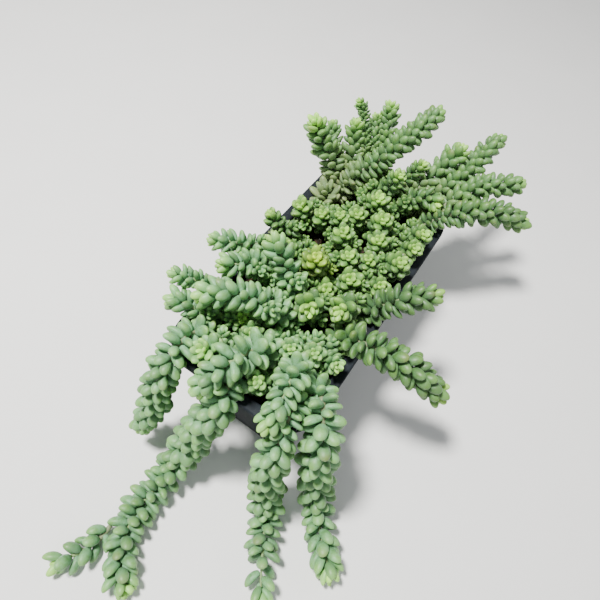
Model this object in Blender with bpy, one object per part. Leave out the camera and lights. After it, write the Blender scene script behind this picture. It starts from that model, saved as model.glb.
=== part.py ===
"""A trough pot planted full of burro's tail shoots, in metres, +Z up.

The pot stands on its flat base at the origin.  +X runs along the pot towards
its far end, +Y to its left long side.  The trailing shoots go over the near
end (-X) and lie along the surface that the pot stands on.
"""
import bmesh
import bpy
import numpy as np
from math import cos, pi, sin

MM = 0.001

# ---- driving dimensions, in millimetres ------------------------------------
POT_LENGTH = 314.0          # over the lip
POT_WIDTH = 150.0
POT_HEIGHT = 120.0
CORNER_RADIUS = 33.0        # at the lip's outer edge
LIP_WIDTH = 8.0             # how far the lip stands out from the wall
LIP_DEPTH = 7.0
LIP_ROUND = 1.6
WALL = 3.0
BASE_THICKNESS = 4.0
BASE_EDGE = 1.5             # bevel where the wall meets the base
TAPER = 12.0                # each wall leans in by this from lip to base
SOIL_TOP = 103.5            # mean height of the potting mix
SOIL_MOUND = 1.2            # how far its top rises and falls
GAP = 0.5                   # air left between neighbouring solids
CORNER_STEPS = 6
LEAST_CORNER = 8.0          # smallest corner radius inside the pot

TUBE_SIDES = 8
RING_STEP = 8.0             # distance between a shoot's rings
ROUTE_STEP = 2.0            # fine steps used to measure the room round a shoot
STEM_RADIUS = 3.2           # bare foot of a shoot
THINNEST = 2.2              # least radius where neighbours press
TIP_END = 0.6               # radius of the flat at the very tip
FOOT_LENGTH = 18.0          # a shoot reaches its full radius over this length
TIP_LENGTH = 9.0            # and rounds off over this one

# ---- the shoots ---------------------------------------------------------------
# name: (radius over the leaves, colour group, route from the mix to the tip)
SHOOTS = {
    # far end, reaching up and out over the far rim
    "far_01": (15, "deep", [(108, 50, 107), (110, 56, 128), (114, 68, 142), (115, 83, 160),
                            (110, 97, 184)]),
    "far_02": (10, "deep", [(122, 54, 107), (127, 64, 132), (142, 82, 145), (154, 94, 158)]),
    "far_03": (8, "deep", [(130, 30, 107), (135, 34, 126), (150, 46, 146), (168, 62, 160),
                           (177, 71, 172), (174, 80, 182)]),
    "far_04": (14, "deep", [(118, 38, 107), (124, 43, 128), (138, 54, 143), (149, 62, 155),
                            (155, 67, 172)]),
    "far_05": (12, "deep", [(136, 6, 107), (140, 12, 126), (152, 22, 138), (170, 32, 147),
                            (194, 43, 158), (203, 50, 178)]),
    "far_06": (10, "deep", [(136, 18, 107), (140, 24, 126), (154, 36, 140), (172, 46, 146),
                           (186, 53, 152), (193, 59, 164)]),
    "far_07": (13.5, "deep", [(98, 46, 107), (106, 42, 128), (118, 33, 146), (134, 23, 157),
                              (158, 16, 164), (192, 9, 168), (236, 2, 172)]),
    "far_08": (15, "deep", [(136, -20, 107), (139, -22, 125), (150, -27, 140), (172, -33, 147),
                            (190, -39, 156), (203, -42, 170)]),
    "far_09": (13, "deep", [(133, -36, 107), (137, -40, 125), (150, -46, 138), (180, -56, 146),
                           (208, -62, 151), (240, -66, 157), (262, -72, 161)]),
    "far_10": (14, "deep", [(126, -49, 107), (131, -52, 125), (143, -60, 139), (163, -70, 145),
                            (186, -81, 147), (209, -100, 146), (232, -119, 141)]),
    "far_11": (15, "fresh", [(112, -46, 107), (116, -54, 127), (128, -70, 143), (150, -89, 145),
                             (178, -116, 137), (199, -143, 122)]),
    "far_12": (13, "fresh", [(118, -12, 107), (121, -20, 128), (125, -31, 144), (128, -43, 150),
                             (127, -58, 148)]),
    "far_13": (11.5, "fresh", [(114, 14, 107), (116, 6, 132), (118, -3, 152), (119, -9, 170)]),
    "far_14": (11.5, "fresh", [(128, -4, 107), (136, -6, 130), (149, -13, 148), (157, -20, 166)]),
    "far_15": (13, "fresh", [(100, 0, 107), (93, -2, 132), (85, -4, 160)]),
    "far_16": (12, "deep", [(84, 47, 107), (84, 50, 119), (82, 54, 134)]),
    # crown, standing close together in the middle
    "crown_01": (13.5, "fresh", [(50, 50, 107), (43, 54, 128), (34, 57, 149)]),
    "crown_02": (12, "fresh", [(56, 35, 107), (48, 34, 128), (39, 33, 149)]),
    "crown_03": (11.5, "fresh", [(58, 19, 107), (50, 17, 130), (40, 15, 159)]),
    "crown_04": (12.5, "fresh", [(76, 8, 107), (68, 6, 130), (59, 4, 153)]),
    "crown_05": (14, "fresh", [(82, -15, 107), (74, -18, 130), (65, -21, 158)]),
    "crown_06": (13, "fresh", [(42, 3, 107), (34, 3, 130), (25, 2, 158)]),
    "crown_07": (14, "bright", [(-4, 10, 107), (-11, 8, 132), (-20, 5, 163)]),
    "crown_08": (13, "fresh", [(60, -30, 107), (52, -30, 130), (43, -29, 154)]),
    "crown_09": (12, "fresh", [(28, -12, 107), (21, -14, 127), (12, -15, 148)]),
    "crown_10": (12, "fresh", [(38, -36, 107), (30, -34, 127), (20, -31, 148)]),
    "crown_11": (13, "fresh", [(94, -48, 107), (88, -54, 130), (80, -62, 153)]),
    "crown_12": (12, "fresh", [(76, -49, 107), (70, -55, 128), (64, -62, 147)]),
    "crown_13": (14, "fresh", [(50, -50, 107), (42, -54, 130), (34, -59, 153)]),
    "crown_14": (13.5, "fresh", [(6, -25, 107), (-1, -27, 127), (-10, -29, 148)]),
    "crown_15": (12.5, "fresh", [(-16, -11, 107), (-21, -13, 122), (-28, -16, 139)]),
    "crown_16": (11.5, "fresh", [(20, -47, 107), (13, -51, 125), (5, -56, 143)]),
    "crown_17": (15, "fresh", [(-44, -12, 107), (-50, -13, 132), (-57, -15, 148), (-66, -19, 155)]),
    "crown_18": (14.5, "fresh", [(-30, -40, 107), (-34, -41, 132), (-40, -41, 148),
                                 (-53, -40, 157)]),
    "crown_19": (11.5, "bloom", [(-80, -40, 107), (-87, -42, 130), (-95, -44, 153)]),
    "crown_20": (10.5, "bloom", [(-78, -50, 107), (-82, -54, 127), (-90, -66, 145)]),
    "crown_21": (11, "bloom", [(-84, -18, 107), (-94, -22, 130), (-106, -27, 157)]),
    "crown_22": (12, "bloom", [(-128, -14, 107), (-134, -17, 128), (-141, -20, 146)]),
    "crown_23": (12, "bloom", [(-94, 16, 107), (-101, 13, 128), (-108, 9, 146)]),
    "crown_24": (11, "fresh", [(14, 51, 107), (9, 57, 127), (3, 65, 144), (1, 72, 155)]),
    "crown_25": (12, "fresh", [(8, 37, 107), (-1, 39, 124), (-12, 42, 140)]),
    # left side, leaning over the left rim
    "left_01": (12, "bloom", [(-24, 50, 107), (-29, 59, 130), (-38, 71, 142), (-47, 82, 148),
                             (-55, 98, 144)]),
    "left_02": (14, "bloom", [(-30, 34, 107), (-38, 42, 128), (-50, 51, 144), (-64, 59, 151),
                              (-74, 72, 148)]),
    "left_03": (15, "bloom", [(-44, 8, 107), (-44, 11, 132), (-42, 20, 152), (-38, 32, 164),
                              (-33, 47, 170)]),
    "left_04": (15, "bloom", [(-74, -2, 107), (-76, 1, 130), (-81, 8, 150), (-89, 20, 162),
                              (-97, 36, 165), (-105, 51, 162), (-112, 63, 155)]),
    "left_05": (13, "bloom", [(-112, 46, 107), (-113, 56, 126), (-115, 70, 134), (-117, 82, 134),
                              (-119, 91, 126)]),
    "left_06": (11, "bloom", [(-86, 50, 107), (-88, 60, 130), (-94, 76, 141), (-101, 90, 145),
                             (-104, 102, 142)]),
    "left_07": (14, "bloom", [(-128, 20, 107), (-134, 22, 130), (-143, 26, 146), (-151, 28, 160)]),
    "left_08": (12, "bloom", [(-86, 32, 107), (-92, 30, 124), (-100, 26, 141)]),
    # near end, reaching over the near rim
    "near_01": (15, "bloom", [(-122, 42, 107), (-128, 46, 130), (-140, 49, 143), (-157, 50, 141),
                              (-173, 52, 120), (-183, 54, 92), (-192, 56, 62), (-205, 61, 34)]),
    "near_02": (17, "bloom", [(-104, -8, 107), (-110, -8, 134), (-121, -6, 153), (-136, -1, 162),
                              (-151, 5, 160), (-164, 11, 150), (-173, 16, 136)]),
    "near_03": (17, "bloom", [(-104, -36, 107), (-108, -38, 132), (-116, -40, 151),
                              (-132, -43, 160), (-150, -46, 156), (-169, -47, 144)]),
    "trail_01": (16, "bloom", [(-134, 2, 107), (-142, 1, 128), (-155, -2, 138), (-169, -3, 123),
                               (-178, 2, 98), (-186, 8, 70), (-195, 12, 46), (-210, 15, 26),
                               (-230, 16, 17), (-254, 18, 15), (-276, 14, 14), (-294, 5, 13),
                               (-307, -7, 12), (-314, -20, 11)]),
    "trail_02": (9, "bloom", [(-283, 29, 9), (-296, 29, 9.5), (-305, 31, 10),
                              (-314, 35, 10), (-323, 41, 9.5), (-332, 46, 9)]),
    "trail_03": (17, "bloom", [(-124, -42, 107), (-128, -48, 130), (-139, -54, 143),
                               (-153, -57, 141), (-167, -60, 124), (-176, -63, 98),
                               (-181, -66, 72), (-186, -70, 46), (-194, -77, 26),
                               (-208, -87, 18), (-226, -98, 17), (-243, -109, 16),
                               (-256, -119, 14)]),
    "trail_04": (18, "bloom", [(-104, -50, 107), (-109, -57, 128), (-119, -67, 144),
                               (-132, -78, 143), (-144, -88, 124), (-150, -94, 96),
                               (-152, -99, 68), (-156, -107, 42), (-165, -118, 24),
                               (-180, -131, 18), (-194, -146, 17), (-206, -160, 15)]),
    # right side
    "right_01": (14, "fresh", [(-16, -50, 107), (-14, -60, 131), (-8, -71, 145), (2, -82, 151),
                              (12, -92, 152), (23, -104, 151)]),
    "right_02": (14.5, "fresh", [(-50, -46, 107), (-54, -56, 130), (-59, -71, 146),
                               (-58, -88, 149), (-53, -106, 143), (-46, -128, 128),
                               (-39, -154, 107)]),
}

COLOURS = {
    "pot": ((0.030, 0.034, 0.040), 0.55),
    "potting_mix": ((0.075, 0.055, 0.040), 0.95),
    "deep": ((0.115, 0.235, 0.125), 0.50),
    "fresh": ((0.235, 0.370, 0.120), 0.48),
    "bright": ((0.420, 0.560, 0.100), 0.45),
    "bloom": ((0.300, 0.420, 0.270), 0.55),
}


def clear_scene():
    for thing in list(bpy.data.objects):
        bpy.data.objects.remove(thing, do_unlink=True)


def make_material(name, group):
    colour, roughness = COLOURS[group]
    material = bpy.data.materials.new(name)
    material.use_nodes = True
    shader = material.node_tree.nodes["Principled BSDF"]
    shader.inputs["Base Color"].default_value = (*colour, 1.0)
    shader.inputs["Roughness"].default_value = roughness
    material.diffuse_color = (*colour, 1.0)
    return material


def add_object(name, mesh_bm, group):
    """Turn a bmesh in millimetres into a named object in metres."""
    bmesh.ops.scale(mesh_bm, vec=(MM, MM, MM), verts=mesh_bm.verts)
    bmesh.ops.recalc_face_normals(mesh_bm, faces=mesh_bm.faces)
    mesh = bpy.data.meshes.new(name)
    mesh_bm.to_mesh(mesh)
    mesh_bm.free()
    thing = bpy.data.objects.new(name, mesh)
    mesh.materials.append(make_material(name, group))
    bpy.context.scene.collection.objects.link(thing)
    return thing


def loft(mesh_bm, rings):
    """Skin closed rings of equal point count and cap both ends."""
    loops = [[mesh_bm.verts.new(point) for point in ring] for ring in rings]
    count = len(loops[0])
    for low, high in zip(loops, loops[1:]):
        for i in range(count):
            j = (i + 1) % count
            mesh_bm.faces.new((low[i], low[j], high[j], high[i]))
    mesh_bm.faces.new(loops[0][::-1])
    mesh_bm.faces.new(loops[-1])
    return loops


# ---- pot -------------------------------------------------------------------------
def trough_ring(inset, height):
    """Rounded rectangle, drawn in from the lip's outer edge by inset."""
    half_x = POT_LENGTH / 2 - inset
    half_y = POT_WIDTH / 2 - inset
    radius = max(CORNER_RADIUS - inset, LEAST_CORNER)
    ring = []
    for quarter, (sx, sy) in enumerate(((1, 1), (-1, 1), (-1, -1), (1, -1))):
        for step in range(CORNER_STEPS + 1):
            angle = (quarter + step / CORNER_STEPS) * pi / 2
            ring.append((sx * (half_x - radius) + radius * cos(angle),
                         sy * (half_y - radius) + radius * sin(angle), height))
    return ring


def wall_inset(height):
    """Inset of the wall's outer face at a height."""
    return LIP_WIDTH + TAPER * (1 - height / POT_HEIGHT)


def make_pot():
    top, under = POT_HEIGHT, POT_HEIGHT - LIP_DEPTH
    rings = [
        trough_ring(wall_inset(0) + BASE_EDGE, 0.0),
        trough_ring(wall_inset(BASE_EDGE), BASE_EDGE),
        trough_ring(wall_inset(under), under),
        trough_ring(LIP_ROUND, under),
        trough_ring(0.0, under + LIP_ROUND),
        trough_ring(0.0, top - LIP_ROUND),
        trough_ring(LIP_ROUND, top),
        trough_ring(LIP_WIDTH + WALL - LIP_ROUND, top),
        trough_ring(LIP_WIDTH + WALL, top - LIP_ROUND),
        trough_ring(wall_inset(BASE_THICKNESS) + WALL, BASE_THICKNESS),
    ]
    mesh_bm = bmesh.new()
    loft(mesh_bm, rings)
    return add_object("pot", mesh_bm, "pot")


# ---- potting mix --------------------------------------------------------------------
def mound(x, y):
    return SOIL_TOP + SOIL_MOUND * sin(x / 23.0 + 0.6) * cos(y / 17.0 - 0.4)


def make_potting_mix():
    bottom = BASE_THICKNESS + GAP
    edge = SOIL_TOP - 1.0
    low = trough_ring(wall_inset(bottom) + WALL + GAP, bottom)
    high = trough_ring(wall_inset(edge) + WALL + GAP, edge)
    rings = [low, high]
    for share in (0.94, 0.78, 0.58, 0.36, 0.14):
        rings.append([(x * share, y * share, mound(x * share, y * share))
                      for x, y, z in high])
    mesh_bm = bmesh.new()
    loft(mesh_bm, rings)
    return add_object("potting_mix", mesh_bm, "potting_mix")


# ---- shoots ---------------------------------------------------------------------------
def smooth_route(points, step=ROUTE_STEP):
    """Catmull-Rom curve through the points, resampled at an even step."""
    points = np.array(points, float)
    padded = np.vstack([2 * points[0] - points[1], points, 2 * points[-1] - points[-2]])
    t = np.linspace(0, 1, 24, endpoint=False)[:, None]
    pieces = []
    for a, b, c, d in zip(padded, padded[1:], padded[2:], padded[3:]):
        pieces.append(0.5 * (2 * b + (c - a) * t + (2 * a - 5 * b + 4 * c - d) * t ** 2
                             + (3 * b - a - 3 * c + d) * t ** 3))
    curve = np.vstack(pieces + [points[-1:]])
    along = np.r_[0, np.cumsum(np.linalg.norm(np.diff(curve, axis=0), axis=1))]
    even = np.linspace(0, along[-1], max(3, int(along[-1] / step) + 1))
    return np.stack([np.interp(even, along, curve[:, k]) for k in range(3)], 1), even


def lip_line():
    """Points along the middle of the lip, which shoots keep clear of."""
    ring = np.array(trough_ring((LIP_WIDTH + WALL) / 2, POT_HEIGHT - LIP_DEPTH / 2))
    share = np.linspace(0, 1, 60, endpoint=False)[:, None, None]
    return (ring * (1 - share) + np.roll(ring, -1, axis=0) * share).reshape(-1, 3)


def free_radius(name, curves, lip):
    """Radius along a shoot after it is pressed by its neighbours, lip and floor."""
    radius = SHOOTS[name][0]
    curve, along = curves[name]
    room = np.full(len(curve), float(radius))
    for other, (other_curve, _) in curves.items():
        if other == name:
            continue
        share = radius / (radius + SHOOTS[other][0])
        apart = np.linalg.norm(curve[:, None] - other_curve[None], axis=2).min(axis=1)
        room = np.minimum(room, apart * share - GAP)
    apart = np.linalg.norm(curve[:, None] - lip[None], axis=2).min(axis=1)
    room = np.minimum(room, apart - (LIP_WIDTH + WALL) / 2 - 2 * GAP)
    room = np.minimum(room, curve[:, 2])
    reach = int(RING_STEP / ROUTE_STEP)
    padded = np.pad(room, reach, mode="edge")
    return np.array([padded[i:i + 2 * reach + 1].min() for i in range(len(room))])


def taper(along):
    """Share of the full radius: bare foot, leafy middle, rounded tip."""
    length = along[-1]
    foot = np.clip(along / FOOT_LENGTH, 0, 1)
    tip = np.clip((length - along) / TIP_LENGTH, 0, 1)
    return foot, np.sqrt(np.clip(1 - (1 - tip) ** 2, 0, 1))


def frames(curve):
    """A tangent and two steady cross directions at each point of a curve."""
    tangent = np.gradient(curve, axis=0)
    tangent /= np.linalg.norm(tangent, axis=1)[:, None]
    side = np.cross(tangent[0], (0.31, 0.87, 0.38))
    sides = []
    for direction in tangent:
        side = side - direction * side.dot(direction)
        side = side / np.linalg.norm(side)
        sides.append(side)
    sides = np.array(sides)
    return tangent, sides, np.cross(tangent, sides)


def make_shoot(name, curves, lip):
    curve, along = curves[name]
    room = free_radius(name, curves, lip)
    foot, tip = taper(along)
    full = STEM_RADIUS + (np.maximum(room, THINNEST) - STEM_RADIUS) * foot ** 0.7
    radius = np.minimum(np.maximum(full * tip, TIP_END), np.maximum(room, THINNEST))
    _, across, up = frames(curve)
    rings_wanted = max(5, int(along[-1] / RING_STEP))
    even = along[-1] * np.linspace(0, 1, rings_wanted)
    rounding = TIP_LENGTH * np.array((0.33, 0.09, 0.0))
    stations = np.r_[even[:-1], along[-1] - rounding]
    picks = sorted({int(np.abs(along - s).argmin()) for s in stations})
    angles = [2 * pi * k / TUBE_SIDES for k in range(TUBE_SIDES)]
    rings = []
    for i in picks:
        rings.append([curve[i] + radius[i] * (cos(a) * across[i] + sin(a) * up[i])
                      for a in angles])
    mesh_bm = bmesh.new()
    loft(mesh_bm, rings)
    bmesh.ops.triangulate(mesh_bm, faces=mesh_bm.faces)
    return add_object(name, mesh_bm, SHOOTS[name][1])


def main():
    clear_scene()
    root = bpy.data.objects.new("planter", None)
    bpy.context.scene.collection.objects.link(root)
    lip = lip_line()
    curves = {name: smooth_route(route) for name, (_, _, route) in SHOOTS.items()}
    pieces = [make_pot(), make_potting_mix()]
    pieces += [make_shoot(name, curves, lip) for name in SHOOTS]
    for piece in pieces:
        piece.parent = root


main()
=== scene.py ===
"""Burro's tail in a trough pot: leaves, stems, mix, pot, finishes, light and camera.

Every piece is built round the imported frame, in metres.  Shoots are drawn in
millimetres and scaled once, when their mesh is made.
"""
from collections import namedtuple
from math import cos, pi, radians, sin

import bpy
import numpy as np
from mathutils import Matrix, Vector, noise


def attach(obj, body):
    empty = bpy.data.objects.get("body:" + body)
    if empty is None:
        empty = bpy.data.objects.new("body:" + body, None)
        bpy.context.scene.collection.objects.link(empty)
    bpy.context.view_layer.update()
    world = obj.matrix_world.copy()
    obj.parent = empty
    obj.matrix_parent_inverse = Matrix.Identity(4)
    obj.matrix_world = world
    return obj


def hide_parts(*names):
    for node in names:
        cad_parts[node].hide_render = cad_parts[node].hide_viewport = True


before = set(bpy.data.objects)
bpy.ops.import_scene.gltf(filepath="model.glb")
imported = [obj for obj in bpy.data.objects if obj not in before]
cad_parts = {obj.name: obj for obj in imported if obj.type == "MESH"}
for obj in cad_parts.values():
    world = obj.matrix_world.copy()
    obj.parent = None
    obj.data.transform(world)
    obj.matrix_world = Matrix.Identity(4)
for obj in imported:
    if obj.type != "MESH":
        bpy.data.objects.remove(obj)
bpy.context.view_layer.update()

MM = 0.001
GOLDEN_ANGLE = radians(137.508)

# ---- pot and mix, in millimetres ---------------------------------------------------------
POT_LENGTH = 314.0
POT_WIDTH = 150.0
POT_HEIGHT = 120.0
CORNER_RADIUS = 33.0
LIP_WIDTH = 8.0
LIP_DEPTH = 7.0
WALL = 3.0
BASE_THICKNESS = 4.0
TAPER = 12.0
MIX_TOP = 103.5
GAP = 0.5
MOUTH = LIP_WIDTH + WALL        # from the lip's outer edge in to the mouth
LEAST_CORNER = 8.0              # no corner inside the lip is tighter than this

# ---- the shoots: radius over the leaves, kind of leaf, route from mix to tip -------------
SHOOTS = {
    # far end, reaching up and out over the far rim
    "far_01": (15, "deep", [(108, 50, 107), (110, 56, 128), (114, 68, 142), (115, 83, 160),
                            (110, 97, 184)]),
    "far_02": (10, "deep", [(122, 54, 107), (127, 64, 132), (142, 82, 145), (154, 94, 158)]),
    "far_03": (8, "deep", [(130, 30, 107), (135, 34, 126), (150, 46, 146), (168, 62, 160),
                           (177, 71, 172), (174, 80, 182)]),
    "far_04": (14, "deep", [(118, 38, 107), (124, 43, 128), (138, 54, 143), (149, 62, 155),
                            (155, 67, 172)]),
    "far_05": (12, "deep", [(136, 6, 107), (140, 12, 126), (152, 22, 138), (170, 32, 147),
                            (194, 43, 158), (203, 50, 178)]),
    "far_06": (10, "deep", [(136, 18, 107), (140, 24, 126), (154, 36, 140), (172, 46, 146),
                           (186, 53, 152), (193, 59, 164)]),
    "far_07": (13.5, "deep", [(98, 46, 107), (106, 42, 128), (118, 33, 146), (134, 23, 157),
                              (158, 16, 164), (192, 9, 168), (236, 2, 172)]),
    "far_08": (15, "deep", [(136, -20, 107), (139, -22, 125), (150, -27, 140), (172, -33, 147),
                            (190, -39, 156), (203, -42, 170)]),
    "far_09": (13, "deep", [(133, -36, 107), (137, -40, 125), (150, -46, 138), (180, -56, 146),
                           (208, -62, 151), (240, -66, 157), (262, -72, 161)]),
    "far_10": (14, "deep", [(126, -49, 107), (131, -52, 125), (143, -60, 139), (163, -70, 145),
                            (186, -81, 147), (209, -100, 146), (232, -119, 141)]),
    "far_11": (15, "fresh", [(112, -46, 107), (116, -54, 127), (128, -70, 143), (150, -89, 145),
                             (178, -116, 137), (199, -143, 122)]),
    "far_12": (13, "fresh", [(118, -12, 107), (121, -20, 128), (125, -31, 144), (128, -43, 150),
                             (127, -58, 148)]),
    "far_13": (11.5, "fresh", [(114, 14, 107), (116, 6, 132), (118, -3, 152), (119, -9, 170)]),
    "far_14": (11.5, "fresh", [(128, -4, 107), (136, -6, 130), (149, -13, 148), (157, -20, 166)]),
    "far_15": (13, "fresh", [(100, 0, 107), (93, -2, 132), (85, -4, 160)]),
    "far_16": (12, "deep", [(84, 47, 107), (84, 50, 119), (82, 54, 134)]),
    # crown, standing close together in the middle
    "crown_01": (13.5, "fresh", [(50, 50, 107), (43, 54, 128), (34, 57, 149)]),
    "crown_02": (12, "fresh", [(56, 35, 107), (48, 34, 128), (39, 33, 149)]),
    "crown_03": (11.5, "fresh", [(58, 19, 107), (50, 17, 130), (40, 15, 159)]),
    "crown_04": (12.5, "fresh", [(76, 8, 107), (68, 6, 130), (59, 4, 153)]),
    "crown_05": (14, "fresh", [(82, -15, 107), (74, -18, 130), (65, -21, 158)]),
    "crown_06": (13, "fresh", [(42, 3, 107), (34, 3, 130), (25, 2, 158)]),
    "crown_07": (14, "bright", [(-4, 10, 107), (-11, 8, 132), (-20, 5, 163)]),
    "crown_08": (13, "fresh", [(60, -30, 107), (52, -30, 130), (43, -29, 154)]),
    "crown_09": (12, "fresh", [(28, -12, 107), (21, -14, 127), (12, -15, 148)]),
    "crown_10": (12, "fresh", [(38, -36, 107), (30, -34, 127), (20, -31, 148)]),
    "crown_11": (13, "fresh", [(94, -48, 107), (88, -54, 130), (80, -62, 153)]),
    "crown_12": (12, "fresh", [(76, -49, 107), (70, -55, 128), (64, -62, 147)]),
    "crown_13": (14, "fresh", [(50, -50, 107), (42, -54, 130), (34, -59, 153)]),
    "crown_14": (13.5, "fresh", [(6, -25, 107), (-1, -27, 127), (-10, -29, 148)]),
    "crown_15": (12.5, "fresh", [(-16, -11, 107), (-21, -13, 122), (-28, -16, 139)]),
    "crown_16": (11.5, "fresh", [(20, -47, 107), (13, -51, 125), (5, -56, 143)]),
    "crown_17": (15, "fresh", [(-44, -12, 107), (-50, -13, 132), (-57, -15, 148), (-66, -19, 155)]),
    "crown_18": (14.5, "fresh", [(-30, -40, 107), (-34, -41, 132), (-40, -41, 148),
                                 (-53, -40, 157)]),
    "crown_19": (11.5, "bloom", [(-80, -40, 107), (-87, -42, 130), (-95, -44, 153)]),
    "crown_20": (10.5, "bloom", [(-78, -50, 107), (-82, -54, 127), (-90, -66, 145)]),
    "crown_21": (11, "bloom", [(-84, -18, 107), (-94, -22, 130), (-106, -27, 157)]),
    "crown_22": (12, "bloom", [(-128, -14, 107), (-134, -17, 128), (-141, -20, 146)]),
    "crown_23": (12, "bloom", [(-94, 16, 107), (-101, 13, 128), (-108, 9, 146)]),
    "crown_24": (11, "fresh", [(14, 51, 107), (9, 57, 127), (3, 65, 144), (1, 72, 155)]),
    "crown_25": (12, "fresh", [(8, 37, 107), (-1, 39, 124), (-12, 42, 140)]),
    # left side, leaning over the left rim
    "left_01": (12, "bloom", [(-24, 50, 107), (-29, 59, 130), (-38, 71, 142), (-47, 82, 148),
                             (-55, 98, 144)]),
    "left_02": (14, "bloom", [(-30, 34, 107), (-38, 42, 128), (-50, 51, 144), (-64, 59, 151),
                              (-74, 72, 148)]),
    "left_03": (15, "bloom", [(-44, 8, 107), (-44, 11, 132), (-42, 20, 152), (-38, 32, 164),
                              (-33, 47, 170)]),
    "left_04": (15, "bloom", [(-74, -2, 107), (-76, 1, 130), (-81, 8, 150), (-89, 20, 162),
                              (-97, 36, 165), (-105, 51, 162), (-112, 63, 155)]),
    "left_05": (13, "bloom", [(-112, 46, 107), (-113, 56, 126), (-115, 70, 134), (-117, 82, 134),
                              (-119, 91, 126)]),
    "left_06": (11, "bloom", [(-86, 50, 107), (-88, 60, 130), (-94, 76, 141), (-101, 90, 145),
                             (-104, 102, 142)]),
    "left_07": (14, "bloom", [(-128, 20, 107), (-134, 22, 130), (-143, 26, 146), (-151, 28, 160)]),
    "left_08": (12, "bloom", [(-86, 32, 107), (-92, 30, 124), (-100, 26, 141)]),
    # near end, reaching over the near rim
    "near_01": (15, "bloom", [(-122, 42, 107), (-128, 46, 130), (-140, 49, 143), (-157, 50, 141),
                              (-173, 52, 120), (-183, 54, 92), (-192, 56, 62), (-205, 61, 34)]),
    "near_02": (17, "bloom", [(-104, -8, 107), (-110, -8, 134), (-121, -6, 153), (-136, -1, 162),
                              (-151, 5, 160), (-164, 11, 150), (-173, 16, 136)]),
    "near_03": (17, "bloom", [(-104, -36, 107), (-108, -38, 132), (-116, -40, 151),
                              (-132, -43, 160), (-150, -46, 156), (-169, -47, 144)]),
    "trail_01": (16, "bloom", [(-134, 2, 107), (-142, 1, 128), (-155, -2, 138), (-169, -3, 123),
                               (-178, 2, 98), (-186, 8, 70), (-195, 12, 46), (-210, 15, 26),
                               (-230, 16, 17), (-254, 18, 15), (-276, 14, 14), (-294, 5, 13),
                               (-307, -7, 12), (-314, -20, 11)]),
    "trail_02": (9, "bloom", [(-283, 29, 9), (-296, 29, 9.5), (-305, 31, 10),
                              (-314, 35, 10), (-323, 41, 9.5), (-332, 46, 9)]),
    "trail_03": (17, "bloom", [(-124, -42, 107), (-128, -48, 130), (-139, -54, 143),
                               (-153, -57, 141), (-167, -60, 124), (-176, -63, 98),
                               (-181, -66, 72), (-186, -70, 46), (-194, -77, 26),
                               (-208, -87, 18), (-226, -98, 17), (-243, -109, 16),
                               (-256, -119, 14)]),
    "trail_04": (18, "bloom", [(-104, -50, 107), (-109, -57, 128), (-119, -67, 144),
                               (-132, -78, 143), (-144, -88, 124), (-150, -94, 96),
                               (-152, -99, 68), (-156, -107, 42), (-165, -118, 24),
                               (-180, -131, 18), (-194, -146, 17), (-206, -160, 15)]),
    # right side
    "right_01": (14, "fresh", [(-16, -50, 107), (-14, -60, 131), (-8, -71, 145), (2, -82, 151),
                              (12, -92, 152), (23, -104, 151)]),
    "right_02": (14.5, "fresh", [(-50, -46, 107), (-54, -56, 130), (-59, -71, 146),
                               (-58, -88, 149), (-53, -106, 143), (-46, -128, 128),
                               (-39, -154, 107)]),
}


# ---- finishes ----------------------------------------------------------------------------
class Value:
    """A number, colour or vector on its way through a finish."""

    def __init__(self, finish, socket):
        self.finish, self.socket = finish, socket

    def maths(self, operation, a, b):
        return self.finish.add("Math", {"operation": operation}, {0: a, 1: b})

    def __add__(self, other):
        return self.maths("ADD", self, other)

    def __mul__(self, other):
        return self.maths("MULTIPLY", self, other)

    def __rsub__(self, other):
        return self.maths("SUBTRACT", other, self)

    __radd__, __rmul__ = __add__, __mul__

    def between(self, low, high):
        """0 below low, 1 above high, and a smooth rise from one to the other."""
        return self.finish.add(
            "MapRange", {"interpolation_type": "SMOOTHSTEP", "clamp": True},
            {"Value": self, "From Min": low, "From Max": high})


class Finish:
    """A material being put together round one Principled shader."""

    def __init__(self, name, **constants):
        self.material = bpy.data.materials.new(name)
        self.material.use_nodes = True
        self.tree = self.material.node_tree
        self.shader = self.tree.nodes["Principled BSDF"]
        for label, value in constants.items():
            self.shader.inputs[label.replace("_", " ")].default_value = value

    def add(self, kind, settings, sockets, output=0):
        """Any node: its settings first, then the values or links of its sockets."""
        node = self.tree.nodes.new("ShaderNode" + kind)
        for name, value in settings.items():
            setattr(node, name, value)
        for key, value in sockets.items():
            self.feed(node.inputs[key], value)
        return Value(self, node.outputs[output])

    def feed(self, socket, value):
        if isinstance(value, Value):
            self.tree.links.new(value.socket, socket)
        else:
            socket.default_value = value

    def place(self):
        return self.add("TexCoord", {}, {}, "Object")

    def trait(self, name):
        """A number that each leaf or crumb carries."""
        return self.add("Attribute", {"attribute_name": name}, {}, "Fac")

    def noise(self, size, detail=3.0):
        """Soft clouds from 0 to 1, with lumps of about the given size in mm."""
        return self.add("TexNoise", {}, {"Vector": self.place(), "Scale": 1.0 / (size * MM),
                                         "Detail": detail, "Roughness": 0.55})

    def blend(self, share, a, b, how="MIX"):
        """From colour a to colour b by a share of 0 to 1."""
        a, b = ((*c, 1.0) if isinstance(c, tuple) else c for c in (a, b))
        return self.add("Mix", {"data_type": "RGBA", "blend_type": how, "clamp_factor": True},
                        {0: share, 6: a, 7: b}, 2)

    def bump(self, height, depth, strength):
        """A normal from a height of 0 to 1, which stands for a depth in mm."""
        return self.add("Bump", {}, {"Height": height, "Distance": depth * MM,
                                     "Strength": strength})

    def done(self, **inputs):
        """Feed the shader's sockets and give the material."""
        for label, value in inputs.items():
            self.feed(self.shader.inputs[label.replace("_", " ")], value)
        return self.material


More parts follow.
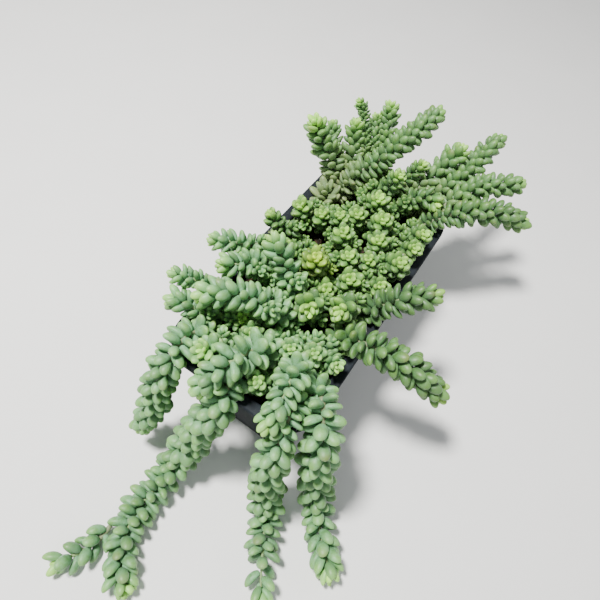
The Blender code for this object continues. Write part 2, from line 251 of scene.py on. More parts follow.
WAX_FILM = (0.218, 0.465, 0.275)
AGED_FLESH = (0.215, 0.240, 0.100)
# painted shade: the colour that darker leaves, and whole shoots painted as lying in shade, lean to
SHADED_FLESH = (0.060, 0.120, 0.045)
DRY_TIP = (0.210, 0.150, 0.055)
PALER = (1.35, 1.30, 1.25)          # what the palest leaves are multiplied by
SHEEN = (0.80, 0.95, 0.88, 1.0)


def leaf_finish(name, old, grown, young, bloom, glow):
    """Fleshy leaf: green that brightens towards the growing tip, under a waxy film."""
    f = Finish(name, Subsurface_Weight=0.10, Subsurface_Scale=0.004,
               Subsurface_Radius=(0.45, 1.0, 0.25), Specular_IOR_Level=0.42,
               Sheen_Weight=0.05, Sheen_Roughness=0.45, Sheen_Tint=SHEEN)
    along, tone, youth, age_spot, age = (
        f.trait(t) for t in ("along", "tone", "youth", "age_spot", "age"))
    # leaves far behind the growing tip, low in the foliage, take the darker old colour: partly
    # older leaves' own colour, partly painted shade
    flesh = f.blend(youth.between(0.02, 0.45), old, grown)
    flesh = f.blend(youth.between(0.50, 1.0), flesh, young)
    flesh = f.blend(along.between(0.45, 1.0) * (youth * 0.45 + glow), flesh, young)
    mottle = f.noise(2.6, 4.0)
    flesh = f.blend(mottle.between(0.35, 0.75) * 0.30, flesh, grown)
    flesh = f.blend(age * 0.70, flesh, AGED_FLESH)
    # the film of wax, rubbed through in patches and thickest at the leaf's neck
    film = (f.noise(5.0, 2.0) * 0.6 + f.noise(0.9, 3.0) * 0.4).between(0.34, 0.62)
    neck = 1 - along.between(0.05, 0.45)
    film = (film * (1 - along * 0.45) + neck * 0.35) * (1 - youth * 0.80) * bloom
    flesh = f.blend(film, flesh, WAX_FILM)
    # every leaf a little paler or darker than the next at random; shoots with a low lit share get
    # less of the paler colour and more of the shaded one, which is painted shade
    paler = f.blend(1.0, flesh, PALER, "MULTIPLY")
    flesh = f.blend(tone.between(0.0, 1.0) * 0.45, flesh, paler)
    flesh = f.blend((1 - tone.between(0.0, 0.55)) * 0.35, flesh, SHADED_FLESH)
    # a few leaves dry to olive brown from the tip
    spot = age_spot.between(0.86, 1.0) * (along + f.noise(1.5) * 0.5).between(0.95, 1.30)
    flesh = f.blend(spot * 0.35, flesh, DRY_TIP)
    fine = f.noise(0.35, 2.0)
    return f.done(Base_Color=flesh, Roughness=0.40 + film * 0.22 + fine * 0.06,
                  Normal=f.bump(fine * 0.35 + f.noise(1.6, 2.0) * 0.65, 0.16, 0.5))


def stem_finish():
    """Stem: green near the growing tip, olive grey and specked with scars below."""
    f = Finish("stem_skin", Subsurface_Weight=0.05, Subsurface_Scale=0.002)
    dark_bark, light_bark = (0.150, 0.190, 0.090), (0.220, 0.260, 0.140)
    green_skin, scar = (0.200, 0.310, 0.120), (0.100, 0.080, 0.055)
    bark = f.blend(f.noise(2.2).between(0.35, 0.65), dark_bark, light_bark)
    skin = f.blend(f.trait("youth").between(0.25, 0.75), bark, green_skin)
    scars = f.noise(1.1, 2.0)
    skin = f.blend(scars.between(0.55, 0.70) * 0.4, skin, scar)
    return f.done(Base_Color=skin, Roughness=0.62 + scars * 0.12,
                  Normal=f.bump(scars, 0.30, 0.7))


def pot_finish():
    """Moulded slate plastic: fine grain, faint flow marks and dust near the base."""
    f = Finish("pot_slate_plastic", Specular_IOR_Level=0.14)
    dark_slate, light_slate = (0.009, 0.012, 0.016), (0.016, 0.021, 0.026)
    dust_colour, scuff_colour = (0.150, 0.140, 0.120), (0.100, 0.110, 0.115)
    grain, clouds = f.noise(0.55, 3.0), f.noise(38.0, 4.0)
    slate = f.blend(clouds.between(0.30, 0.70), dark_slate, light_slate)
    height = f.add("SeparateXYZ", {}, {"Vector": f.place()}, "Z")
    low_dust = (1 - height.between(0.0, 0.030)) * 0.5
    dust = low_dust + f.noise(9.0, 5.0).between(0.52, 0.74) * 0.35
    slate = f.blend(dust * 0.12, slate, dust_colour)
    scuffs = f.noise(2.5, 6.0).between(0.60, 0.66)
    return f.done(Base_Color=f.blend(scuffs * 0.18, slate, scuff_colour),
                  Roughness=0.58 + grain * 0.12 + dust * 0.15,
                  Normal=f.bump(grain, 0.05, 0.6))


def mix_finish():
    """Potting mix, darkened all over for the shade under the leaves and painted near black in the
    hollows of its bump.
    """
    f = Finish("potting_mix_shaded", Specular_IOR_Level=0.25)
    hollow_shade, shaded_soil, dry_grit = (0.008, 0.006, 0.004), (0.040, 0.027, 0.018), (0.080, 0.058, 0.038)
    clumps, grit = f.noise(3.5, 5.0), f.noise(0.8, 3.0)
    # painted shade: near black where the clumps noise is low, which are the hollows of the bump
    earth = f.blend(clumps.between(0.32, 0.70), hollow_shade, shaded_soil)
    earth = f.blend(grit.between(0.60, 0.72) * 0.5, earth, dry_grit)
    return f.done(Base_Color=earth, Roughness=0.80 + grit * 0.18,
                  Normal=f.bump(clumps * 0.6 + grit * 0.4, 1.2, 0.9))


def crumb_finish(name, dark, light):
    """One kind of crumb in the mix, each a little different in tone."""
    f = Finish(name, Specular_IOR_Level=0.25)
    pits = f.noise(0.7, 4.0)
    skin = f.blend(f.trait("tone") * 0.7 + pits * 0.3, dark, light)
    return f.done(Base_Color=skin, Roughness=0.74 + pits * 0.20,
                  Normal=f.bump(pits, 0.35, 0.8))


def floor_finish():
    """Plain pale floor, very faintly clouded."""
    f = Finish("floor_plain")
    clouds = f.noise(90.0, 3.0)
    return f.done(Base_Color=f.blend(clouds, (0.80, 0.80, 0.79), (0.84, 0.84, 0.83)),
                  Roughness=0.75 + clouds * 0.10)


# ---- meshes ------------------------------------------------------------------------------
class Body:
    """Closed shapes gathered into one mesh, each with its own cell of the map."""

    def __init__(self):
        self.shapes = []

    def add(self, verts, rows, around, finish, **traits):
        """A skinned stack of rings with a point at each end, ring by ring.

        verts is (2 + rows * around, 3): first end, the rings, last end.
        """
        self.shapes.append((np.asarray(verts), rows, around, finish, traits))

    def build(self, name, finishes):
        """The gathered shapes as one smooth mesh with its map and its traits."""
        verts, faces, places, slots, traits = [], [], [], [], {}
        side = int(np.ceil(np.sqrt(len(self.shapes))))      # cells along each side of the map
        margin = 0.03
        start = 0
        for index, (points, rows, around, finish, carried) in enumerate(self.shapes):
            shape_faces, shape_places = ring_skin(rows, around)
            corner = np.array((index % side, index // side), float)
            places.append((corner + margin + shape_places * (1 - 2 * margin)) / side)
            faces += [[start + i for i in face] for face in shape_faces]
            slots += [finish] * len(shape_faces)
            for key, value in carried.items():
                traits.setdefault(key, []).append(np.broadcast_to(value, len(points)))
            verts.append(points)
            start += len(points)
        mesh = bpy.data.meshes.new(name)
        mesh.from_pydata(np.vstack(verts) * MM, [], faces)
        mesh.polygons.foreach_set("use_smooth", np.ones(len(faces), bool))
        mesh.polygons.foreach_set("material_index", slots)
        layer = mesh.uv_layers.new(name="OFBake")
        layer.data.foreach_set("uv", np.vstack(places).ravel())
        for key, value in traits.items():
            attribute = mesh.attributes.new(key, "FLOAT", "POINT")
            attribute.data.foreach_set("value", np.concatenate(value).astype(np.float32))
        for finish in finishes:
            mesh.materials.append(finish)
        piece = bpy.data.objects.new(name, mesh)
        bpy.context.scene.collection.objects.link(piece)
        return piece


SKINS = {}


def ring_skin(rows, around):
    """Faces and map places for a stack of rings closed by a point at each end."""
    if (rows, around) in SKINS:
        return SKINS[rows, around]
    faces, places = [], []
    last = 1 + rows * around
    for k in range(around):
        nxt = (k + 1) % around
        left, right, middle = k / around, (k + 1) / around, (k + 0.5) / around
        faces.append((0, 1 + nxt, 1 + k))
        places += [(middle, 0.0), (right, 1 / (rows + 1)), (left, 1 / (rows + 1))]
        for row in range(rows - 1):
            a, b = 1 + row * around, 1 + (row + 1) * around
            low, high = (row + 1) / (rows + 1), (row + 2) / (rows + 1)
            faces.append((a + k, a + nxt, b + nxt, b + k))
            places += [(left, low), (right, low), (right, high), (left, high)]
        top, high = 1 + (rows - 1) * around, rows / (rows + 1)
        faces.append((top + k, top + nxt, last))
        places += [(left, high), (right, high), (middle, 1.0)]
    SKINS[rows, around] = faces, np.array(places)
    return SKINS[rows, around]


def hand_in(piece, *nodes, slot):
    """Ride on the root body and stand for the CAD nodes; slot is not used."""
    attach(piece, "root")
    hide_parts(*nodes)


# ---- the room that the pot and the floor leave -------------------------------------------
MIX_MOUND = 1.0             # how far the mix stands above its level
MOST_LIFT = 4.0             # how far above its foot the mix can push a leaf's tip
FLOOR_GAP = 0.2


def outline(x, y):
    """Signed distance from the lip's outer edge, and the way out from it."""
    dx = np.abs(x) - (POT_LENGTH / 2 - CORNER_RADIUS)
    dy = np.abs(y) - (POT_WIDTH / 2 - CORNER_RADIUS)
    outside = np.hypot(np.maximum(dx, 0), np.maximum(dy, 0))
    distance = outside + np.minimum(np.maximum(dx, dy), 0) - CORNER_RADIUS
    way = np.stack([np.maximum(dx, 0) * np.sign(x), np.maximum(dy, 0) * np.sign(y)], -1)
    flat = outside < 1e-6
    way[flat] = np.stack([(dx > dy) * np.sign(x), (dx <= dy) * np.sign(y)], -1)[flat]
    return distance, way / np.linalg.norm(way, axis=-1, keepdims=True)


def keep_clear(tip, foot, half):
    """Move leaf tips out of the pot's lip, its wall, the mix and the floor."""
    tip = tip.copy()
    tip[:, 2] = np.maximum(tip[:, 2], half)
    foot_distance, _ = outline(foot[:, 0], foot[:, 1])
    distance, way = outline(tip[:, 0], tip[:, 1])
    hangs = (foot_distance > 0) & (tip[:, 2] < POT_HEIGHT) & (distance < half)
    tip[hangs, :2] += way[hangs] * (half - distance)[hangs, None]
    over_lip = (foot[:, 2] > POT_HEIGHT) & (distance > -MOUTH - half) & (distance < half)
    lifted = over_lip & ~hangs & (tip[:, 2] < POT_HEIGHT + half)
    tip[lifted, 2] = (POT_HEIGHT + half)[lifted]
    inside = (foot_distance < -MOUTH) & (tip[:, 2] < POT_HEIGHT) & (distance > -MOUTH - half)
    tip[inside, :2] -= way[inside] * (distance + MOUTH + half)[inside, None]
    over_mix = np.where(distance < -MOUTH, MIX_TOP + MIX_MOUND + half, 0.0)
    tip[:, 2] = np.maximum(tip[:, 2], np.minimum(over_mix, foot[:, 2] + MOST_LIFT))
    return tip


def press_on_wall(points, foot):
    """Flatten against the inside of the wall the leaves that start below the lip."""
    foot_distance, _ = outline(foot[:, 0], foot[:, 1])
    below = (foot_distance < -MOUTH) & (foot[:, 2] < POT_HEIGHT)
    distance, way = outline(points[..., 0], points[..., 1])
    past = distance + wall_inset(points[..., 2]) + WALL + GAP
    through = below[:, None] & (points[..., 2] < POT_HEIGHT) & (past > 0)
    points[through, :2] -= way[through] * past[through][:, None]


# ---- shoots ------------------------------------------------------------------------------
ROUTE_STEP = 1.0
ROUTE_SAMPLES = 24          # points of the curve between two points of a route
STEM_RADIUS = 2.1
STEM_SIDES = 8
STEM_RING = 3.0             # distance between rings of the stem
STEM_DEPTH = 3.0            # how far the stem goes on below the foot of its route
LEAF_SIDES = 12
LEAF_ROWS = 9
LEAF_SPREAD = 1.08          # leaf tips stand this far past the solid's radius
MINGLE = 4.0                # leaves of neighbours reach this far into each other
LEAST_ROOM = 0.80           # no neighbour presses a shoot in further than this
ROOM_OVER_FLOOR = (1.3, 9.0)    # share of the height over the floor, and the least
ROOM_SMOOTHING = 9          # steps over which a shoot's width is evened out
TIP_MARGIN = 3.0            # the stem ends this far behind the end of its route
TILT_YOUNG = radians(15)
TILT_BACK = (1.3, 2.2)      # where leaves start to lean back, and over what, in radii
LEAF_SPACING = 0.108        # distance between leaves, as a share of their reach
BUD_LENGTH = 0.58           # leaves are still growing over this share of the radius
BUD_SIZE = 0.42             # size of the youngest leaf, as a share of a grown one
BUD_SLIMMER = 0.020         # how much narrower the youngest leaf is for its length
YOUTH_LENGTH = 1.10         # the young colour fades out over this many radii
OVERLAP = 1.04              # leaves are this much longer than the room they have
OLD_FOOT = 48.0             # length of older, longer leaves at the foot of a far shoot
OLD_LONGER, OLD_SLIMMER = 0.30, 0.035
LEAF_BEND = (0.10, 0.20)    # rise of a leaf's tip, as a share of its length
SHOULDER = 0.62             # how soon a leaf widens from its neck
NECK = 0.22                 # girth of the neck, as a share of the leaf's
FRONT, BACK = 0.58, 0.88    # the face towards the tip is flatter than the back

# how much leaves differ from the rule, in radians or as a share
TURN_SPREAD, TILT_SPREAD, OLD_TILT_SPREAD = 0.09, radians(5), radians(14)
SIZE_SPREAD, WIDTH_SPREAD, FACING_SPREAD, YOUTH_SPREAD = 0.06, 0.05, 0.10, 0.05

# leaf length and spacing, tilt in degrees near the tip and far behind it, width, how
# pointed the leaves are, how young the tip looks and how lit the shoot is painted (below 1 is
# painted shade)
Habit = namedtuple("Habit", "longer spacing lean lean_back wide point vigour lightness")
USUAL = Habit(1.0, 1.0, 66, 86, 0.300, 0.54, 1.0, 1.0)
CROWN = Habit(1.0, 1.05, 66, 86, 0.330, 0.60, 0.95, 0.4)
SIDE_SHOOT = Habit(1.10, 1.8, 68, 86, 0.320, 0.56, 0.45, 0.5)
HANGING = Habit(0.98, 1.05, 58, 90, 0.300, 0.50, 1.0, 1.0)
TRAILING = Habit(0.93, 1.10, 62, 94, 0.310, 0.50, 1.0, 1.0)
HABITS = {
    "trail_01": Habit(1.06, 1.20, 62, 92, 0.320, 0.50, 1.0, 0.6),
    "trail_02": Habit(1.85, 3.8, 60, 64, 0.325, 0.50, 1.0, 0.8),
    "trail_03": TRAILING._replace(vigour=0.8),
    "trail_04": TRAILING._replace(lean=58),
    "near_01": Habit(0.98, 1.10, 62, 92, 0.315, 0.50, 1.0, 1.0),
    "near_02": HANGING,
    "near_03": HANGING,
    "right_01": Habit(1.08, 1.0, 64, 84, 0.290, 0.54, 1.0, 0.3),
    "right_02": Habit(1.10, 1.10, 60, 84, 0.300, 0.50, 1.4, 1.0),
    "far_01": USUAL._replace(vigour=1.5),
    "far_16": Habit(1.35, 1.2, 74, 86, 0.255, 0.48, 0.1, 1.0),
}
THIN_END = {"trail_03": 34.0}   # leaves stand far apart over this length at the tip
THIN_SPACING = 2.4

BRANCHING = ("crown", "left", "far_12", "far_13", "far_14", "far_15")
OFFSHOOTS = ((0.50, 16.0), (0.28, 19.0), (0.15, 17.0))  # share up the shoot, reach in mm
OFFSHOOT_RISE = 13.0
OFFSHOOT_WAYS = 16              # directions that a side shoot chooses from
OFFSHOOT_GAP = 9.5              # a narrower gap than this gets no side shoot
OFFSHOOT_RADIUS = 10.5          # the most that its leaves reach
OFFSHOOT_FILL = 0.88            # share of the gap that its leaves fill
OFFSHOOT_KNEE = 0.6             # share of its reach at which it turns up
OFFSHOOT_MARGIN = 5.0           # how far its tip stays inside the pot's mouth


def smooth_route(points):
    """Catmull-Rom curve through the points, at even steps."""
    points = np.array(points, float)
    padded = np.vstack([2 * points[0] - points[1], points, 2 * points[-1] - points[-2]])
    t = np.linspace(0, 1, ROUTE_SAMPLES, endpoint=False)[:, None]
    pieces = []
    for a, b, c, d in zip(padded, padded[1:], padded[2:], padded[3:]):
        pieces.append(0.5 * (2 * b + (c - a) * t + (2 * a - 5 * b + 4 * c - d) * t ** 2
                             + (3 * b - a - 3 * c + d) * t ** 3))
    curve = np.vstack(pieces + [points[-1:]])
    along = np.r_[0, np.cumsum(np.linalg.norm(np.diff(curve, axis=0), axis=1))]
    even = np.linspace(0, along[-1], max(3, int(along[-1] / ROUTE_STEP) + 1))
    return np.stack([np.interp(even, along, curve[:, k]) for k in range(3)], 1), even


def frames(curve):
    """Tangent and two steady cross directions at each point of a curve."""
    tangent = np.gradient(curve, axis=0)
    tangent /= np.linalg.norm(tangent, axis=1)[:, None]
    side, sides = np.cross(tangent[0], (0.31, 0.87, 0.38)), []
    for direction in tangent:
        side = side - direction * side.dot(direction)
        side = side / np.linalg.norm(side)
        sides.append(side)
    sides = np.array(sides)
    return tangent, sides, np.cross(tangent, sides)


def leaf_room(name, curves):
    """Radius over the leaves along a shoot, pressed in a little by its neighbours."""
    radius = SHOOTS[name][0]
    curve, _ = curves[name]
    room = np.full(len(curve), float(radius))
    for other, (other_curve, _) in curves.items():
        if other == name:
            continue
        share = radius / (radius + SHOOTS[other][0])
        apart = np.linalg.norm(curve[:, None] - other_curve[None, ::3], axis=2).min(axis=1)
        room = np.minimum(room, MINGLE + apart * share)
    room = LEAF_SPREAD * np.maximum(room, LEAST_ROOM * radius)
    share_of_height, least = ROOM_OVER_FLOOR
    room = np.minimum(room, np.maximum(share_of_height * curve[:, 2], least))
    soft = np.ones(ROOM_SMOOTHING) / ROOM_SMOOTHING
    return np.convolve(np.pad(room, ROOM_SMOOTHING // 2, mode="edge"), soft, mode="valid")


def leaf_rings(point):
    """Share of the length, girth and ring angles of a leaf one unit long."""
    t = (1 - np.cos(np.linspace(0, pi, LEAF_ROWS + 2)[1:-1])) / 2
    girth = t ** SHOULDER * (1 - t) ** point
    girth = girth / girth.max() + NECK * (1 - t) ** 4
    angle = np.arange(LEAF_SIDES) * 2 * pi / LEAF_SIDES
    return t, girth, angle


def leaf_points(foot, way, up, length, half, bend, point):
    """Points of many leaves at once: (leaves, points, 3)."""
    across = np.cross(way, up)
    t, girth, angle = leaf_rings(point)
    wide = np.cos(angle)[None] * girth[:, None]
    thick = np.where(np.sin(angle) > 0, FRONT, BACK) * np.sin(angle)
    thick = thick[None] * girth[:, None]
    t_all = np.r_[0.0, np.repeat(t, LEAF_SIDES), 1.0]
    wide_all = np.r_[0.0, wide.ravel(), 0.0]
    thick_all = np.r_[0.0, thick.ravel(), 0.0]
    rise = bend[:, None] * (t_all ** 2)[None] * length[:, None]
    return (foot[:, None] + way[:, None] * (t_all[None] * length[:, None])[..., None]
            + across[:, None] * (wide_all[None] * half[:, None])[..., None]
            + up[:, None] * (thick_all[None] * half[:, None] + rise)[..., None]), t_all


def leaf_stations(length, room, along, growing, spacing, thin_end):
    """Distance along the stem of each leaf, closer together towards the tip."""
    stations, behind, foot = [], 1.0, 4.0
    closest = 0.36              # at the tip, as a share of the spacing of grown leaves
    while behind < length - foot:
        grown = min(1.0, behind / growing)
        local = np.interp(length - behind, along, room)
        stations.append(length - behind)
        apart = spacing * LEAF_SPACING * (local - STEM_RADIUS)
        apart *= closest + (1 - closest) * grown
        behind += apart * (THIN_SPACING if growing < behind < thin_end else 1.0)
    return np.array(stations)


def offshoot_routes(curve, taken):
    """Short side shoots into the widest gaps beside a shoot, as radius and route."""
    found = []
    for share, reach in OFFSHOOTS:
        start = curve[int(share * (len(curve) - 1))]
        turns = np.linspace(0, 2 * pi, OFFSHOOT_WAYS, endpoint=False)
        steps = np.stack([reach * np.cos(turns), reach * np.sin(turns),
                          np.full(OFFSHOOT_WAYS, OFFSHOOT_RISE)], 1)
        tips = start + steps
        distance, _ = outline(tips[:, 0], tips[:, 1])
        clear = np.linalg.norm(tips[:, None] - taken[None], axis=2).min(axis=1)
        clear[distance > -(MOUTH + OFFSHOOT_MARGIN)] = 0.0
        best = int(clear.argmax())
        if clear[best] < OFFSHOOT_GAP:
            continue
        knee = start + steps[best] * (OFFSHOOT_KNEE, OFFSHOOT_KNEE, OFFSHOOT_KNEE / 2)
        found.append((min(OFFSHOOT_RADIUS, OFFSHOOT_FILL * clear[best]),
                      [start, knee, tips[best]]))
        middle = start + steps[best] * OFFSHOOT_KNEE
        taken = np.vstack([taken, tips[best][None], middle[None]])
    return found, taken


def grow(body, radius, kind, curve, along, room, chance, habit, thin_end=0.0):
    """One axis of a shoot: its leaves in a golden spiral, and its stem."""
    tangent, side, up = frames(curve)
    length = along[-1] - TIP_MARGIN
    growing = BUD_LENGTH * radius
    stations = leaf_stations(length, room, along, growing, habit.spacing, thin_end)
    count = len(stations)

    def at(values):
        return np.stack([np.interp(stations, along, values[:, k]) for k in range(3)], 1)

    # how far each leaf is from the growing tip and from the foot
    behind = length - stations
    grown = np.clip(behind / growing, 0, 1)
    old = np.clip(1.25 - stations / OLD_FOOT, 0, 1) * (kind == "deep")
    turn = np.arange(count) * GOLDEN_ANGLE + chance.normal(0, TURN_SPREAD, count)
    foot, axis = at(curve), at(tangent)
    outward = np.cos(turn)[:, None] * at(side) + np.sin(turn)[:, None] * at(up)

    # upright at the tip, leaning out within one radius, and further back along the stem
    lean = radians(habit.lean)
    tilt = TILT_YOUNG + (lean - TILT_YOUNG) * np.clip(behind / radius, 0, 1) ** 0.50
    back_start, back_length = TILT_BACK
    far_behind = np.clip((behind - back_start * radius) / (back_length * radius), 0, 1)
    tilt = tilt + radians(habit.lean_back - habit.lean) * far_behind
    tilt = tilt + chance.normal(0, TILT_SPREAD, count) * (0.3 + 0.7 * grown)
    tilt = tilt + old * chance.normal(0, OLD_TILT_SPREAD, count)
    way = np.sin(tilt)[:, None] * outward + np.cos(tilt)[:, None] * axis

    reach = np.interp(stations, along, room) - STEM_RADIUS * 0.7
    size = OVERLAP * habit.longer * reach * (BUD_SIZE + (1 - BUD_SIZE) * grown ** 0.70)
    size = size * (1 + chance.normal(0, SIZE_SPREAD, count)) * (1 + OLD_LONGER * old)
    half = size * (habit.wide - BUD_SLIMMER * (1 - grown) - OLD_SLIMMER * old)
    half = half * (1 + chance.normal(0, WIDTH_SPREAD, count))
    foot = foot + outward * (STEM_RADIUS * 0.6 * grown)[:, None]
    way = keep_clear(foot + way * size[:, None], foot, half * 0.7) - foot
    way = way / np.linalg.norm(way, axis=1, keepdims=True)
    # the flatter face looks along the stem and a little inward
    facing = axis - outward * 0.35 + chance.normal(0, FACING_SPREAD, (count, 3))
    facing = facing - way * (facing * way).sum(1, keepdims=True)
    facing = facing / np.linalg.norm(facing, axis=1, keepdims=True)
    bend = chance.uniform(*LEAF_BEND, count) * (0.6 + 0.4 * grown)
    points, t_all = leaf_points(foot, way, facing, size, half, bend, habit.point)
    points[..., 2] = np.maximum(points[..., 2], FLOOR_GAP)
    press_on_wall(points, foot)

    # tone is random per leaf, scaled by the shoot's lit share: a low share paints the shoot in
    # shade
    tone, spot = chance.random(count) * habit.lightness, chance.random(count)
    youth = habit.vigour * np.clip(1.05 - behind / (YOUTH_LENGTH * radius), 0, 1)
    youth = np.clip(youth + chance.normal(0, YOUTH_SPREAD, count), 0, 1)
    for i in range(count):
        body.add(points[i], LEAF_ROWS, LEAF_SIDES, 0, along=t_all, tone=tone[i],
                 youth=youth[i], age_spot=spot[i], age=old[i])
    add_stem(body, curve, along, length, side, up)


def add_stem(body, curve, along, length, side, up):
    """A tapering stem, swollen a little where leaves leave it."""
    rows = max(4, int(length / STEM_RING))
    stations = np.linspace(0, length, rows)
    picks = np.abs(along[None] - stations[:, None]).argmin(axis=1)
    share = stations / length
    girth = STEM_RADIUS * (1.05 - 0.65 * share ** 2) * (1 + 0.07 * np.sin(stations * 2.1))
    angle = np.arange(STEM_SIDES) * 2 * pi / STEM_SIDES
    rings = (curve[picks][:, None]
             + side[picks][:, None] * (np.cos(angle)[None] * girth[:, None])[..., None]
             + up[picks][:, None] * (np.sin(angle)[None] * girth[:, None])[..., None])
    sunk, end = curve[0] - (0, 0, STEM_DEPTH), curve[picks[-1]] + 0.2
    verts = np.vstack([sunk[None], rings.reshape(-1, 3), end[None]])
    youth = np.r_[0.0, np.repeat(np.clip(share * 1.2 - 0.1, 0, 1), STEM_SIDES), 1.0]
    body.add(verts, rows, STEM_SIDES, 1, along=0.0, tone=0.5, youth=youth, age_spot=0.0,
             age=0.0)


def make_shoot(name, curves, taken, finishes):
    """A shoot with its leaves, and the small side shoots that fill the gaps beside it."""
    radius, kind, _ = SHOOTS[name]
    curve, along = curves[name]
    chance = np.random.default_rng(sum(map(ord, name)) * 7919)
    body = Body()
    habit = HABITS.get(name, CROWN if name.startswith("crown") else USUAL)
    grow(body, radius, kind, curve, along, leaf_room(name, curves), chance, habit,
         THIN_END.get(name, 0.0))
    if name.startswith(BRANCHING):
        found, taken = offshoot_routes(curve, taken)
        for side_radius, route in found:
            side_curve, side_along = smooth_route(route)
            side_room = np.full(len(side_curve), side_radius)
            grow(body, side_radius, kind, side_curve, side_along, side_room, chance,
                 SIDE_SHOOT)
    return body.build(name + "_leaves", finishes), taken


# ---- pot ---------------------------------------------------------------------------------
CORNER_STEPS = 14


def trough_ring(inset, height, steps=CORNER_STEPS):
    """Rounded rectangle, drawn in from the lip's outer edge by inset."""
    half_x, half_y = POT_LENGTH / 2 - inset, POT_WIDTH / 2 - inset
    radius = max(CORNER_RADIUS - inset, LEAST_CORNER)
    ring = []
    for quarter, (sx, sy) in enumerate(((1, 1), (-1, 1), (-1, -1), (1, -1))):
        for step in range(steps + 1):
            angle = (quarter + step / steps) * pi / 2
            ring.append((sx * (half_x - radius) + radius * cos(angle),
                         sy * (half_y - radius) + radius * sin(angle), height))
    return ring


def wall_inset(height):
    """How far the leaning wall stands in from the lip's outer edge."""
    return LIP_WIDTH + TAPER * (1 - height / POT_HEIGHT)


def quarter_round(inset, height, radius, start, steps=5):
    """Insets and heights round a quarter circle about (inset, height)."""
    for step in range(steps + 1):
        angle = radians(start + 90 * step / steps)
        yield inset - radius * cos(angle), height + radius * sin(angle)


def make_pot():
    """One closed shell, drawn as rings from the base up the wall, over the lip and down."""
    top, under = POT_HEIGHT, POT_HEIGHT - LIP_DEPTH
    foot_radius, under_radius, top_radius, fillet = 2.0, 1.4, 2.2, 2.5
    profile = [(wall_inset(0) + 22.0, 0.0), (wall_inset(0) + foot_radius + 0.2, 0.0)]
    profile += list(quarter_round(wall_inset(0) + foot_radius, foot_radius, foot_radius, -90))[1:]
    profile += [(wall_inset(h), h) for h in (20.0, 60.0, 98.0, under - 1.5)]
    profile += [(wall_inset(under) - 1.2, under)]
    profile += list(quarter_round(under_radius, under + under_radius, under_radius, -90))
    profile += list(quarter_round(top_radius, top - top_radius, top_radius, 0))
    profile += [(MOUTH - 2.0, top), (MOUTH - 0.9, top - 0.35), (MOUTH - 0.1, top - 1.6),
                (MOUTH + 0.1, top - 4.0)]
    profile += [(wall_inset(h) + WALL, h) for h in (100.0, 60.0, BASE_THICKNESS + 3.0)]
    profile += [(wall_inset(BASE_THICKNESS) + WALL + fillet, BASE_THICKNESS)]
    rings = [trough_ring(inset, height) for inset, height in profile]
    verts = np.vstack([[(0, 0, 0)]] + rings + [[(0, 0, BASE_THICKNESS)]])
    body = Body()
    body.add(verts, len(rings), len(rings[0]), 0)
    hand_in(body.build("pot_shell", [pot_finish()]), "pot", slot="pot")


# ---- potting mix -------------------------------------------------------------------------
def mix_height(x, y):
    """A gentle swell with two sizes of lump on it."""
    swell = 1.2 * sin(x / 23.0 + 0.6) * cos(y / 17.0 - 0.4)
    coarse = noise.noise(Vector((x, y, 3.0)) / 9.0) * 1.6
    fine = noise.noise(Vector((x, y, 9.0)) / 3.2) * 0.8
    return MIX_TOP + swell + (coarse + fine) - 0.6


def make_mix():
    """The fill: rings up the inside of the wall, then ever smaller ones over the top."""
    low, edge = BASE_THICKNESS + GAP, MIX_TOP - 2.0
    top_rings = 34
    rings = [trough_ring(wall_inset(h) + WALL + GAP, h, 12) for h in (low, 30.0, 60.0, 85.0, edge)]
    rim = rings[-1]
    for share in np.linspace(0.985, 0.02, top_rings):
        rings.append([(x * share, y * share, mix_height(x * share, y * share))
                      for x, y, _ in rim])
    verts = np.vstack([[(0, 0, low)]] + rings + [[(0, 0, mix_height(0, 0))]])
    body = Body()
    body.add(verts, len(rings), len(rim), 0, tone=0.5)
    add_crumbs(body)
    finishes = [mix_finish(),
                crumb_finish("mix_bark_bits", (0.030, 0.018, 0.010), (0.150, 0.090, 0.050)),
                crumb_finish("mix_perlite", (0.420, 0.400, 0.360), (0.700, 0.690, 0.650))]
    hand_in(body.build("potting_mix_top", finishes), "potting_mix", slot="potting_mix")


CRUMBS = 420
PERLITE_EVERY = 7               # one crumb in so many is perlite
CRUMB_FIELD = (138, 56)         # half the length and width that they are strewn over


def add_crumbs(body):
    """Bark bits and a few grains of perlite, half sunk in the mix."""
    chance = np.random.default_rng(41)
    rows, around = 4, 7
    polar = np.linspace(0, pi, rows + 2)[1:-1]
    angle = np.arange(around) * 2 * pi / around
    rings = [[(sin(p) * cos(a), sin(p) * sin(a), -cos(p)) for a in angle] for p in polar]
    ball = np.vstack([[(0, 0, -1)]] + rings + [[(0, 0, 1)]])
    reach_x, reach_y = CRUMB_FIELD
    for index in range(CRUMBS):
        x, y = chance.uniform(-reach_x, reach_x), chance.uniform(-reach_y, reach_y)
        white = index % PERLITE_EVERY == 0
        size = chance.uniform(0.7, 1.5) if white else chance.uniform(0.8, 2.6)
        stretch = (1, 1, 0.9) if white else (1.5, 0.8, 0.5)
        spin = Matrix.Rotation(chance.uniform(0, 2 * pi), 3, "Z")
        lumpy = ball * (1 + chance.normal(0, 0.13, (len(ball), 1)))
        verts = (lumpy * stretch * size) @ np.array(spin)
        verts = verts + (x, y, mix_height(x, y) + size * 0.25)
        body.add(verts, rows, around, 2 if white else 1, tone=chance.random())


# ---- floor, light and camera -------------------------------------------------------------
CAMERA_AZIMUTH, CAMERA_CLIMB, CAMERA_ROLL = radians(-68.8), radians(58.0), radians(14.8)
CAMERA_DISTANCE, CAMERA_AIM = 0.454, Vector((-0.042, 0.001, 0.120))
CAMERA_LENS, SENSOR = 28.8, 36.0
LIGHT_AIM = Vector((-0.03, 0.0, 0.10))
FLOOR_HALF = 4.0                # metres from the middle to each side of the floor


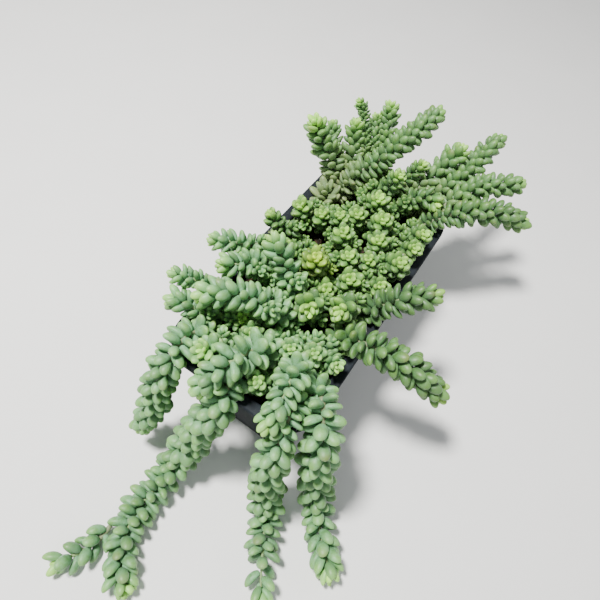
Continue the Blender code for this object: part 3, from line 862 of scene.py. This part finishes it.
def make_floor():
    """A plain square that the pot stands on."""
    mesh = bpy.data.meshes.new("floor")
    corners = [(x * FLOOR_HALF, y * FLOOR_HALF, 0)
               for x, y in ((-1, -1), (1, -1), (1, 1), (-1, 1))]
    mesh.from_pydata(corners, [], [(0, 1, 2, 3)])
    mesh.materials.append(floor_finish())
    floor = bpy.data.objects.new("floor", mesh)
    bpy.context.scene.collection.objects.link(floor)


def make_camera():
    """Camera high over the near end, looking down and rolled a little."""
    back = Vector((sin(CAMERA_AZIMUTH) * cos(CAMERA_CLIMB),
                   -cos(CAMERA_AZIMUTH) * cos(CAMERA_CLIMB), sin(CAMERA_CLIMB)))
    right = Vector((cos(CAMERA_AZIMUTH), sin(CAMERA_AZIMUTH), 0))
    level = Matrix((right, back.cross(right), back)).transposed()
    turned = (level @ Matrix.Rotation(CAMERA_ROLL, 3, "Z")).to_4x4()
    camera = bpy.data.objects.new("camera", bpy.data.cameras.new("camera"))
    camera.data.lens, camera.data.sensor_width = CAMERA_LENS, SENSOR
    camera.data.clip_start = 0.01
    camera.matrix_world = Matrix.Translation(CAMERA_AIM + back * CAMERA_DISTANCE) @ turned
    bpy.context.scene.collection.objects.link(camera)
    bpy.context.scene.camera = camera


def make_light(name, place, size, power, colour):
    """A round lamp of the given width in metres, turned to the plant."""
    lamp = bpy.data.lights.new(name, "AREA")
    lamp.shape, lamp.size, lamp.energy, lamp.color = "DISK", size, power, colour
    thing = bpy.data.objects.new(name, lamp)
    thing.location = place
    thing.rotation_euler = (LIGHT_AIM - Vector(place)).to_track_quat("-Z", "Y").to_euler()
    bpy.context.scene.collection.objects.link(thing)


def make_lighting():
    """One small strong key light, two wide faint ones and a pale sky."""
    make_light("key", (-0.30, 0.45, 1.55), size=0.26, power=66.0, colour=(1.0, 0.985, 0.95))
    make_light("fill", (-1.20, -0.70, 0.90), size=1.20, power=5.0, colour=(0.93, 0.97, 1.0))
    make_light("back", (0.90, -0.90, 1.00), size=0.80, power=5.0, colour=(1.0, 1.0, 1.0))
    world = bpy.data.worlds.new("studio")
    world.use_nodes = True
    sky = world.node_tree.nodes["Background"].inputs
    sky["Color"].default_value, sky["Strength"].default_value = (0.93, 0.96, 1.0, 1.0), 0.24
    bpy.context.scene.world = world


# ---- making ------------------------------------------------------------------------------
# old, grown and young flesh (the dark old flesh is partly painted shade on the lower leaves), how
# much wax lies on it, how much leaf tips brighten
LEAF_KINDS = {
    "deep": ((0.062, 0.145, 0.030), (0.098, 0.245, 0.048), (0.370, 0.680, 0.110), 0.28, 0.12),
    "fresh": ((0.042, 0.105, 0.020), (0.088, 0.220, 0.042), (0.440, 0.780, 0.110), 0.24, 0.10),
    "bright": ((0.055, 0.125, 0.015), (0.150, 0.290, 0.030), (0.580, 0.820, 0.045), 0.06, 0.10),
    "bloom": ((0.076, 0.190, 0.060), (0.125, 0.305, 0.088), (0.410, 0.740, 0.140), 0.55, 0.24),
}


def main():
    """Stage, pot and mix first, then every shoot in the order of its list."""
    make_camera()
    make_floor()
    make_lighting()
    make_pot()
    make_mix()
    stem = stem_finish()
    leaves = {kind: leaf_finish("leaf_" + kind, *colours)
              for kind, colours in LEAF_KINDS.items()}
    curves = {name: smooth_route(route) for name, (_, _, route) in SHOOTS.items()}
    taken = np.vstack([curve[::4] for curve, _ in curves.values()])
    for name, (_, kind, _) in SHOOTS.items():
        piece, taken = make_shoot(name, curves, taken, [leaves[kind], stem])
        hand_in(piece, name, slot="leaf_" + kind)


main()
